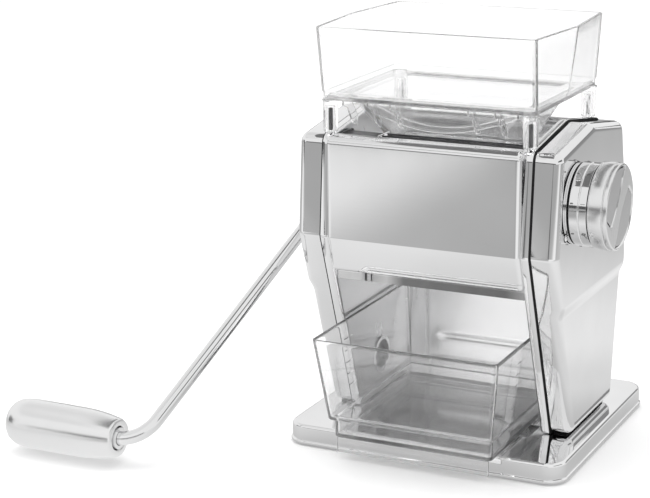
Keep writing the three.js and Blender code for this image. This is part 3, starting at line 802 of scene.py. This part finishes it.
def dial_pad(name, side, gap=1.2):
    """A satin pad in one pocket of the face, with a line of painted shade left all round it, where the face's
    sunk floor is black.
    """
    rim, end = 27.2 - gap, 19.0 - gap

    def edge(s):
        return bar_half(s, 5.3) + gap

    low = min((abs(math.hypot(s, edge(s)) - rim), s) for s in [-27 + 0.05 * k for k in range(400)])[1]
    beside_bar = [low + (end - low) * k / 40 for k in range(41)]
    first, last = math.atan2(math.sqrt(rim ** 2 - end ** 2), end), math.atan2(edge(low), low)
    round_rim = [first + (last - first) * k / 60 for k in range(60)]
    outline = [Vector((s, edge(s))) for s in beside_bar]
    outline += [Vector((rim * math.cos(t), rim * math.sin(t))) for t in round_rim]
    outline = [p for i, p in enumerate(outline) if i == 0 or (p - outline[i - 1]).length > 0.05]
    middle = sum(outline, Vector((0, 0))) / len(outline)
    rings = []
    for depth, shrink in ((1.15, 1.0), (0.75, 1.0), (0.6, 0.992), (0.55, 0.975)):
        ring = []
        for p in outline:
            q = middle + (p - middle) * shrink
            spot = (ALONG * q.x + ACROSS * q.y) * side
            ring.append((FACE_X - depth, DIAL_Y + spot.x, DIAL_Z + spot.y))
        rings.append(ring)
    return finish_piece(weight(loft(name, rings)), PAD, "dial_knob")


DIAL_CENTRE = Vector((knob_out, DIAL_Y, DIAL_Z))
face = finish_piece(weight(dial_face()), SATIN, "dial_knob", ["dial_cap"])
# painted shade: the face's sunk pocket floors are black, showing as a dark line round each pad
second_material(face, RUBBER_AND_SHADE, lambda at, normal: (
    (at - DIAL_CENTRE).yz.length < 28 and at.x < knob_out + 0.85))
dial_pad("dial_pad_upper", 1)
dial_pad("dial_pad_lower", -1)


def dial_number(text, angle, x_middle, height):
    """A generic number printed round the dial band."""
    curve = bpy.data.curves.new(f"dial_number_{text}", "FONT")
    curve.body = text
    curve.size = height
    curve.extrude = 0.0
    curve.align_x = "CENTER"
    curve.align_y = "CENTER"
    curve.resolution_u = 3
    carrier = bpy.data.objects.new("carrier", curve)
    scene.collection.objects.link(carrier)
    graph = bpy.context.evaluated_depsgraph_get()
    flat = bpy.data.meshes.new_from_object(carrier.evaluated_get(graph))
    bpy.data.objects.remove(carrier)
    bpy.data.curves.remove(curve)
    bm = bmesh.new()
    bm.from_mesh(flat)
    bpy.data.meshes.remove(flat)
    radius = BAND_R + 0.02
    for vert in bm.verts:
        turn = angle - vert.co.x / radius
        x = x_middle + vert.co.y
        vert.co = Vector((x, DIAL_Y + radius * math.cos(turn), DIAL_Z + radius * math.sin(turn)))
    result = bmesh.ops.extrude_face_region(bm, geom=bm.faces[:])
    for vert in [g for g in result["geom"] if isinstance(g, bmesh.types.BMVert)]:
        out = Vector((0, vert.co.y - DIAL_Y, vert.co.z - DIAL_Z)).normalized()
        vert.co += out * 0.12
    obj = object_from(f"dial_number_{text}", bm)
    return finish_piece(obj, PRINT, "dial_knob")


STATIONS = [math.radians(212 - 45 * index) for index in range(8)]
for index, turn in enumerate(STATIONS):
    dial_number(str(index), turn, 106.8, 4.0)
mark_profile = [(98.6, 0), (98.7, 0.5), (99.6, 0.55), (100.5, 0.5), (100.6, 0)]
for index, turn in enumerate(STATIONS):
    y, z = DIAL_Y + (BAND_R - 0.05) * math.cos(turn), DIAL_Z + (BAND_R - 0.05) * math.sin(turn)
    finish_piece(turned(f"dial_mark_{index:02d}", mark_profile, y, z, 12), PRINT, "dial_knob")

# the index dimple on the cover, with a dark ring
spot = Vector((COVER_OUT, DIAL_Y - 23.6, DIAL_Z - 18.4))
dot = turned("dial_index_dot", [(0, 2.3), (0.3, 2.3), (0.8, 1.7), (1.1, 0.9), (1.2, 0)], 0, 0, 32)
dot.data.transform(Matrix.Translation(spot * MM))
finish_piece(dot, BACK_PAINTED_LIGHT, "frame")
dot_ring = turned("dial_index_ring", [(0, 2.3), (0, 3.0), (0.15, 3.0), (0.2, 2.3)], 0, 0, 32, closed=True)
dot_ring.data.transform(Matrix.Translation(spot * MM))
finish_piece(dot_ring, RUBBER_AND_SHADE, "frame")


# ---- crank
rod_end, rod_inner = box_x("crank_rod")
ROD_R = 4.75


def arc_points(corner, before, after, radius, steps=14):
    """Points round a bend of the given radius."""
    half = (-before).angle(after) / 2
    reach = radius / math.tan(half)
    start, end = corner - before * reach, corner + after * reach
    centre = corner + (after - before).normalized() * (radius / math.sin(half))
    points = []
    for k in range(steps + 1):
        direction = (start - centre).normalized().slerp((end - centre).normalized(), k / steps)
        points.append(centre + direction.normalized() * radius)
    return points


hub = Vector((-104, HUB_Y, HUB_Z))
knee = Vector((-170, GRIP_Y, GRIP_Z))
left = Vector((-1, 0, 0))
arm = (knee - hub).normalized()
path = [Vector((rod_inner, HUB_Y, HUB_Z))]
path += arc_points(hub, left, arm, 14)
path += arc_points(knee, arm, left, 26)
path += [Vector((rod_end, GRIP_Y, GRIP_Z))]
rod = tube("crank_rod_bent", path, ROD_R)
finish_piece(weight(rod), TURNED, "crank", ["crank_rod"])

g0, g1 = box_x("crank_grip")
outside = [
    (g0, 0), (g0 + 0.15, 3), (g0 + 0.5, 6), (g0 + 1.2, 9), (g0 + 2.6, 11.9), (g0 + 4.8, 14.2), (g0 + 8, 15.9),
    (g0 + 12, 16.9), (g0 + 18, 17.4), (g0 + 30, 17.5), (g0 + 48, 17.45), (g1 - 29, 17.3), (g1 - 22, 17.0),
    (g1 - 15, 16.3), (g1 - 8, 15.2), (g1 - 3, 14.1), (g1 - 1.2, 13.6), (g1 - 0.3, 12.9), (g1, 11.8),
]
bore = [
    (g1 - 0.1, 9.2), (g1 - 0.8, 8.4), (g1 - 2.9, 8.2), (g1 - 3, 7.4), (g1 - 3, 5.4),
    (rod_end - 1.5, 5.3), (rod_end - 2, 0),
]
grip = turned("crank_grip_turned", outside + bore, GRIP_Y, GRIP_Z, 96)
finish_piece(weight(grip), GRIP, "grip", ["crank_grip"])

washer = turned("grip_washer", rounded_profile([
    (g1 - 2.9, 5.6), (g1 - 2.9, 8.0), (g1 - 1.9, 8.0), (g1 - 1.9, 5.6),
], 0.1), GRIP_Y, GRIP_Z, 64, closed=True)
finish_piece(washer, RUBBER_AND_SHADE, "grip")


# ---- hopper
hopper_low, hopper_high = box_mm("hopper")
RIM, MID = hopper_high[2], (hopper_low[1] + hopper_high[1]) / 2
LEDGE, FLOOR, THROAT = 253.4, 247.8, hopper_low[2]
W = 2.1  # wall


def hopper_ring(depth_half, half, z, corner, kink_half=None):
    """A level ring: half its depth (Y) and half its width (X), with the width at the kink."""
    return plan_ring(MID - depth_half, MID + depth_half, half, z, corner, mid=kink_half or half, steps=8)


def between(a, b, count):
    """The points that divide a..b into count parts."""
    return [a + (b - a) * k / count for k in range(1, count)]


def hopper_wall(z, inside):
    """A ring of the flaring upper wall."""
    t = (z - LEDGE) / (RIM - LEDGE)
    shift = W if inside else 0.0
    corner = 2.2 if inside else 4.0
    return hopper_ring(62.4 + 5.9 * t - shift, 77.2 + 0.8 * t - shift, z, corner, 77.8 + 5.7 * t - shift)


outer_rings = [hopper_ring(67.7, 77.4, RIM, 3.4, 82.9), hopper_wall(RIM - 0.6, False)]
outer_rings += [hopper_wall(z, False) for z in between(RIM - 0.6, LEDGE + 1.2, 4)]
outer_rings += [
    hopper_wall(LEDGE + 0.6, False), hopper_ring(62.1, 77.0, LEDGE, 4, 77.2),
    hopper_ring(61.6, 76.6, LEDGE - 0.5, 3.8), hopper_ring(61.6, 76.6, FLOOR + 0.7, 3.8),
    hopper_ring(61.0, 76.0, FLOOR, 3.4), hopper_ring(52, 66, FLOOR, 13),
]
bowl = [
    (50, 64.5, 246.6, 14), (47, 62, 242, 15), (42, 58.5, 235.6, 15), (34.5, 55, 227.8, 14),
    (26.5, 52.4, 221, 12), (19.5, 50.4, 216.4, 9), (15.2, 49, THROAT + 0.4, 6),
]
outer_rings += [hopper_ring(*b) for b in bowl]
inner_rings = [hopper_ring(14.6, 48.4, THROAT, 5.5), hopper_ring(12.9, 46.8, THROAT + 0.2, 4)]
inner_rings += [hopper_ring(d - W, h - W, z + 1.2, c - 1) for d, h, z, c in reversed(bowl[1:-1])]
inner_rings += [
    hopper_ring(48.2, 62.6, 248.2, 13), hopper_ring(50.4, 64.4, FLOOR + W, 13),
    hopper_ring(59.6, 74.4, FLOOR + W, 3), hopper_ring(59.9, 74.8, FLOOR + W + 0.8, 2.4),
    hopper_ring(60.2, 75.0, LEDGE + 0.4, 2.2, 75.4), hopper_wall(LEDGE + 1.4, True),
]
inner_rings += [hopper_wall(z, True) for z in between(LEDGE + 1.4, RIM - 0.5, 4)]
inner_rings += [hopper_wall(RIM - 0.5, True), hopper_ring(66.7, 76.4, RIM, 2.8, 81.9)]
hopper = loft("hopper_moulding", list(reversed(outer_rings + inner_rings)), closed=True)
finish_piece(weight(hopper), CLEAR, "hopper", ["hopper"])


def hopper_edge(at, normal):
    """Painted shade where light pipes out of the moulding: the rim, the corners and the kinks get a grey
    tint.
    """
    if at.z > RIM - (0.7 if at.y < MID else 1.6):
        return True
    seen = at.z > LEDGE and (at.x > 0 or at.y < MID - 20)
    corner = min(abs(normal.x), abs(normal.y)) > 0.3
    kink = abs(at.y - MID) < 1.3 and abs(at.x) > 74
    return seen and (corner or kink)


second_material(hopper, EDGE_PAINTED_SHADE, hopper_edge)


def turned_z(name, profile, x, y, sides=40):
    """A body of revolution about an upright axis, from (z, radius) points."""
    obj = turned(name, profile, 0, 0, sides)
    upright = Matrix(((0, 1, 0, x * MM), (0, 0, 1, y * MM), (1, 0, 0, 0), (0, 0, 0, 1)))
    obj.data.transform(upright)
    return obj


# four posts, each with a pin in its bore
for end, y, foot, pin_material in (("front", -79, 225.8, BLACKED_AND_SHADE), ("rear", 37, 226.4, TURNED)):
    bore = [(FLOOR - 4, 0), (FLOOR - 4, 2.4), (foot, 2.6)]
    skin = [(foot, 4.5), (foot + 0.5, 5), (FLOOR - 1.2, 5.2), (FLOOR - 0.05, 5.8), (FLOOR - 0.05, 0)]
    shank = [(foot + 1, 0), (foot + 1, 1.1), (foot + 1.4, 1.5)]
    shank += [(FLOOR - 6, 1.5), (FLOOR - 5.6, 1.1), (FLOOR - 5.4, 0)]
    for side, x in (("left", -72), ("right", 72)):
        post = turned_z(f"hopper_post_{end}_{side}", bore + skin, x, y)
        finish_piece(weight(post), CLEAR, "hopper")
        finish_piece(turned_z(f"hopper_pin_{end}_{side}", shank, x, y, 24), pin_material, "hopper")

# curved beads round the front of the bowl
for index, (y, low, reach) in enumerate(((-63.5, 228.0, 60), (-56.5, 231.5, 54))):
    points = []
    for k in range(-20, 21):
        bend = (k / 20) ** 2
        points.append(Vector((reach * k / 20, y + 3 * bend, low + (244.6 - low) * bend)))
    finish_piece(tube(f"hopper_bead_{index + 1}", points, 0.8, 14), CLEAR, "hopper")

# thin fins under the floor that carry the bowl
fin_shape = [
    (-79, FLOOR - 0.1), (-79, 244.2), (-72, 241.5), (-64, 229.5), (-57, 226.5), (-56, 233.5),
    (-66, FLOOR - 2.2), (-67.5, FLOOR - 0.1),
]
for index, x in enumerate((-62.8, -44.7, -28.0, 28.0, 47.0, 62.8)):
    faces = [[(x + half, y, z) for y, z in fin_shape] for half in (-0.6, 0.6)]
    finish_piece(soften(loft(f"hopper_fin_{index + 1}", faces), 0.2, 2), CLEAR, "hopper")


# ---- drawer
tray_low, tray_high = box_mm("drawer")
TOP, LIP = tray_high[2], tray_low[2]
T = 2.0  # wall


def tray_ring(t, z, inset=0.0, corner=3.4):
    """The drawer's upper wall: t runs from the ledge (0) to the rim (1)."""
    return plan_ring(
        -113.5 - 9.0 * t + inset, 29 + 7 * t - inset, 60.5 + 7.1 * t - inset, z,
        max(corner - inset * 0.6, 1.4), back_half=60.5 + 6.1 * t - inset,
    )


def foot_ring(z, inset=0.0, corner=3.4):
    """A ring of the drawer's narrow foot."""
    return plan_ring(-107 + inset, 24 - inset, 58.3 - inset, z, max(corner - inset * 0.6, 1.4))


SHOULDER, SEAT = 32.0, 16.2
rise = TOP - SHOULDER
rings = [foot_ring(SEAT, 0.8), foot_ring(SEAT + 0.8), foot_ring(22)]
rings += [foot_ring(SHOULDER - 2.4), foot_ring(SHOULDER - 1.6, -0.5)]
rings += [tray_ring(0, SHOULDER - 1.4, 0.8), tray_ring(0, SHOULDER - 0.4)]
rings += [tray_ring(t, SHOULDER + rise * t) for t in (0.02, 0.3, 0.6, 0.95)]
rings += [tray_ring(0.992, TOP - 0.4), tray_ring(1, TOP, 0.5)]
rings += [tray_ring(1, TOP, T - 0.5), tray_ring(0.992, TOP - 0.5, T)]
rings += [tray_ring(t, SHOULDER + rise * t, T) for t in (0.95, 0.6, 0.3, 0.04)]
rings += [tray_ring(0, SHOULDER + 1.0, T), tray_ring(0, SHOULDER + 0.3, T + 0.8)]
rings += [foot_ring(SHOULDER + 0.1, T - 0.6), foot_ring(SHOULDER - 0.8, T)]
rings += [foot_ring(22, T), foot_ring(SEAT + T + 0.8, T), foot_ring(SEAT + T, T + 0.8)]
tray = loft("drawer_moulding", rings)
finish_piece(weight(tray), CLEAR, "drawer", ["drawer"])
# painted shade: the drawer's rim and corners get the grey edge tint
second_material(tray, EDGE_PAINTED_SHADE, lambda at, normal: (
    at.z > TOP - 0.6 or min(abs(normal.x), abs(normal.y)) > 0.45 and abs(normal.z) < 0.5))

lip = brick((-56, -107, LIP), (56, -105, SEAT - 0.05))
lip.name = "drawer_lip"
finish_piece(soften(lip, 0.5, 3), CLEAR, "drawer")

# moulded level marks inside both side walls
for index in range(5):
    t = 0.22 + 0.14 * index
    x, z = 60.5 + 7.0 * t - T - 0.15, SHOULDER + rise * t
    for side, sign in (("left", -1), ("right", 1)):
        ends = [Vector((sign * x, y, z)) for y in (-78, -69 if index % 2 else -64)]
        finish_piece(tube(f"drawer_mark_{side}_{index + 1}", ends, 0.32, 10), CLEAR, "drawer")


# ---- the other nodes keep their shapes
def paint(node, material):
    """Gives a CAD node its material."""
    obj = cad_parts[node]
    obj.data.materials.clear()
    obj.data.materials.append(material)


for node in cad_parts:
    if node.startswith("rubber_foot"):
        paint(node, RUBBER_AND_SHADE)
    elif "bush" in node or node.startswith("carriage_block"):
        paint(node, BRONZE)
    elif node == "front_chute":
        # painted reflection and shade: the chute strip's colour changes along X
        paint(node, CHUTE_PAINTED_LIGHT)
    elif node == "rear_chute" or node.startswith("tie_rod"):
        # painted light: the rear chute and tie rods get the brighter lit copy
        paint(node, BACK_PAINTED_LIGHT)
    elif node.startswith(("plate_eyelet", "grip_collar")):
        paint(node, TURNED)
    else:
        paint(node, STEEL)


# ---- stage
def stage_plane(name, corners, material):
    """A flat stage object that isn't part of the mill."""
    obj = mesh_object(name, corners, [tuple(range(len(corners)))])
    obj.data.materials.append(material)
    return obj


def mirrors_only(obj):
    """Hides a stage object from everything but mirror reflections."""
    obj.visible_camera = False
    obj.visible_diffuse = False
    obj.visible_transmission = False
    obj.visible_shadow = False
    obj.visible_volume_scatter = False
    return obj


floor_material, tree, shader = new_material("pale_floor")
put(shader, Base_Color=ramp(tree, noise(tree, 3, 2), grey(0.93, 0), grey(0.95, 0)))
put(shader, Roughness=0.7, Specular_IOR_Level=0.0, Emission_Color=(1, 1, 1, 1), Emission_Strength=0.1)
square = [(-9000, -9000, 0), (9000, -9000, 0), (9000, 9000, 0), (-9000, 9000, 0)]
floor = stage_plane("floor", square, floor_material)
floor.visible_glossy = False


def glow(name, build):
    """An emitting stage material; build(tree) returns the brightness or colour socket."""
    material = bpy.data.materials.new(name)
    material.use_nodes = True
    tree = material.node_tree
    tree.nodes.clear()
    emission = add_node(tree, "Emission", Color=build(tree))
    add_node(tree, "OutputMaterial", Surface=emission.outputs[0])
    return material


def math_node(tree, operation, *values):
    """A math node on sockets or plain numbers."""
    node = add_node(tree, "Math")
    node.operation = operation
    for socket, value in zip(node.inputs, values):
        feed(socket, value)
    return node.outputs[0]


def blend(tree, factor, a, b, mode="MIX"):
    """Mixes two colours."""
    node = add_node(tree, "Mix")
    node.data_type = "RGBA"
    node.blend_type = mode
    for index, value in ((0, factor), (6, a), (7, b)):
        feed(node.inputs[index], value)
    return node.outputs[2]


def mirror_floor(tree):
    """The table as mirrors see it, with painted shade: a painted contact shadow right round the mill, bright
    a little way out and on the left, shaded to the right and far off.
    """
    x, y, z = place_xyz(tree)
    squares = [math_node(tree, "POWER", socket, 2) for socket in (x, y)]
    far = math_node(tree, "DIVIDE", math_node(tree, "SQRT", math_node(tree, "ADD", *squares)), 2.0)
    slant = math_node(tree, "ADD", math_node(tree, "MULTIPLY", x, 1.1), 0.58)
    ring = grey_curve(tree, far, [
        (0.0, 0.5), (0.055, 0.56), (0.09, 0.78), (0.14, 0.92), (0.34, 0.6), (0.6, 0.5), (1.0, 0.4)])
    side = grey_curve(tree, slant, [
        (0.0, 1.0), (0.11, 0.98), (0.31, 0.52), (0.5, 0.46), (0.72, 1.0), (1.0, 1.0)])
    fall = grey_curve(tree, math_node(tree, "MULTIPLY", y, -0.5), [(0.4, 1.0), (0.75, 0.52), (1.0, 0.45)])
    front = grey_curve(tree, math_node(tree, "MULTIPLY", y, -2.0), [(0.5, 0.0), (0.95, 1.0)])
    return blend(tree, front, ring, blend(tree, 1.0, side, fall, "MULTIPLY"))


lowered = [(x, y, -0.5) for x, y, z in square]
mirrors_only(stage_plane("mirror_floor", lowered, glow("mirror_floor", mirror_floor)))


def card(name, centre, normal, width, height, level, through=False):
    """A card that only mirrors see, through the clear parts too where asked; it shapes the metal's looks."""

    def build(tree):
        haze = noise(tree, 2, 2)
        return ramp(tree, haze, grey(level * 0.92, 0), grey(level * 1.05, 0))

    turn = Vector(normal).to_track_quat("Z", "Y")
    flat = [Vector((sx * width / 2, sy * height / 2, 0)) for sx, sy in ((-1, -1), (1, -1), (1, 1), (-1, 1))]
    corners = [tuple(turn @ corner + Vector(centre)) for corner in flat]
    obj = mirrors_only(stage_plane(name, corners, glow(name, build)))
    obj.visible_transmission = through
    return obj


world = bpy.data.worlds.new("studio")
scene.world = world
world.use_nodes = True
put(world.node_tree.nodes["Background"], Color=(1, 1, 1, 1), Strength=0.95)

card("dark_right", (1500, -300, 900), (-1, 0.1, -0.4), 1600, 400, 0.12, True)
card("dark_behind_right", (900, 1300, 350), (-0.4, -1, 0), 900, 500, 0.3)
card("dark_left", (-1500, -700, 260), (1, 0.4, 0), 700, 420, 0.15, True)
card("dark_stripe_1", (-240, -1900, 5), (0, 0, 1), 70, 1200, 0.03)
card("dark_stripe_2", (-600, -1180, 4), (0, 0, 1), 900, 110, 0.05)
card("dark_front", (-300, -2300, 300), (0, 1, 0), 2600, 320, 0.1)
card("dark_back", (-700, 2500, 300), (0, -1, 0), 2600, 360, 0.12)
card("shade_above", (-310, 640, 1300), (0, 0, -1), 420, 2700, 0.2, True)
card("shade_left", (-1020, -50, 1310), (0, 0, -1), 950, 2500, 0.85, True)


def softbox(name, location, target, width, height, power):
    """A soft area light aimed at a target; sizes in metres."""
    light = bpy.data.lights.new(name, "AREA")
    light.shape = "RECTANGLE"
    light.size, light.size_y = width, height
    light.energy = power
    obj = bpy.data.objects.new(name, light)
    obj.location = location
    obj.rotation_euler = (Vector(target) - Vector(location)).to_track_quat("-Z", "Y").to_euler()
    obj.visible_glossy = False
    scene.collection.objects.link(obj)
    return obj


softbox("softbox_top", (-0.2, 0.1, 1.9), (0, 0, 0.1), 1.8, 1.4, 14)
softbox("softbox_left", (-1.5, -0.9, 1.1), (0, 0, 0.15), 1.0, 1.2, 6)

# ---- camera
azimuth, elevation, roll = math.radians(26.395), math.radians(15.259), math.radians(-0.656)
level = Vector((-math.sin(azimuth), math.cos(azimuth), 0))
forward = level * math.cos(elevation) - Vector((0, 0, math.sin(elevation)))
right = Vector((math.cos(azimuth), math.sin(azimuth), 0))
above = right.cross(forward)
cam_right = right * math.cos(roll) + above * math.sin(roll)
cam_up = -right * math.sin(roll) + above * math.cos(roll)
camera_data = bpy.data.cameras.new("camera")
camera_data.sensor_width = 36
camera_data.lens = 105.02
camera_data.shift_x = 0.0068
camera_data.shift_y = 0.0053
camera_data.clip_start, camera_data.clip_end = 0.05, 60
camera = bpy.data.objects.new("camera", camera_data)
turn = Matrix((cam_right, cam_up, -forward)).transposed().to_4x4()
camera.matrix_world = Matrix.Translation((0.4839, -1.2170, 0.4857)) @ turn
scene.collection.objects.link(camera)
scene.camera = camera
scene.view_settings.view_transform = "Standard"
scene.view_settings.look = "None"
scene.cycles.max_bounces = 24
scene.cycles.transmission_bounces = 20
scene.cycles.glossy_bounces = 10
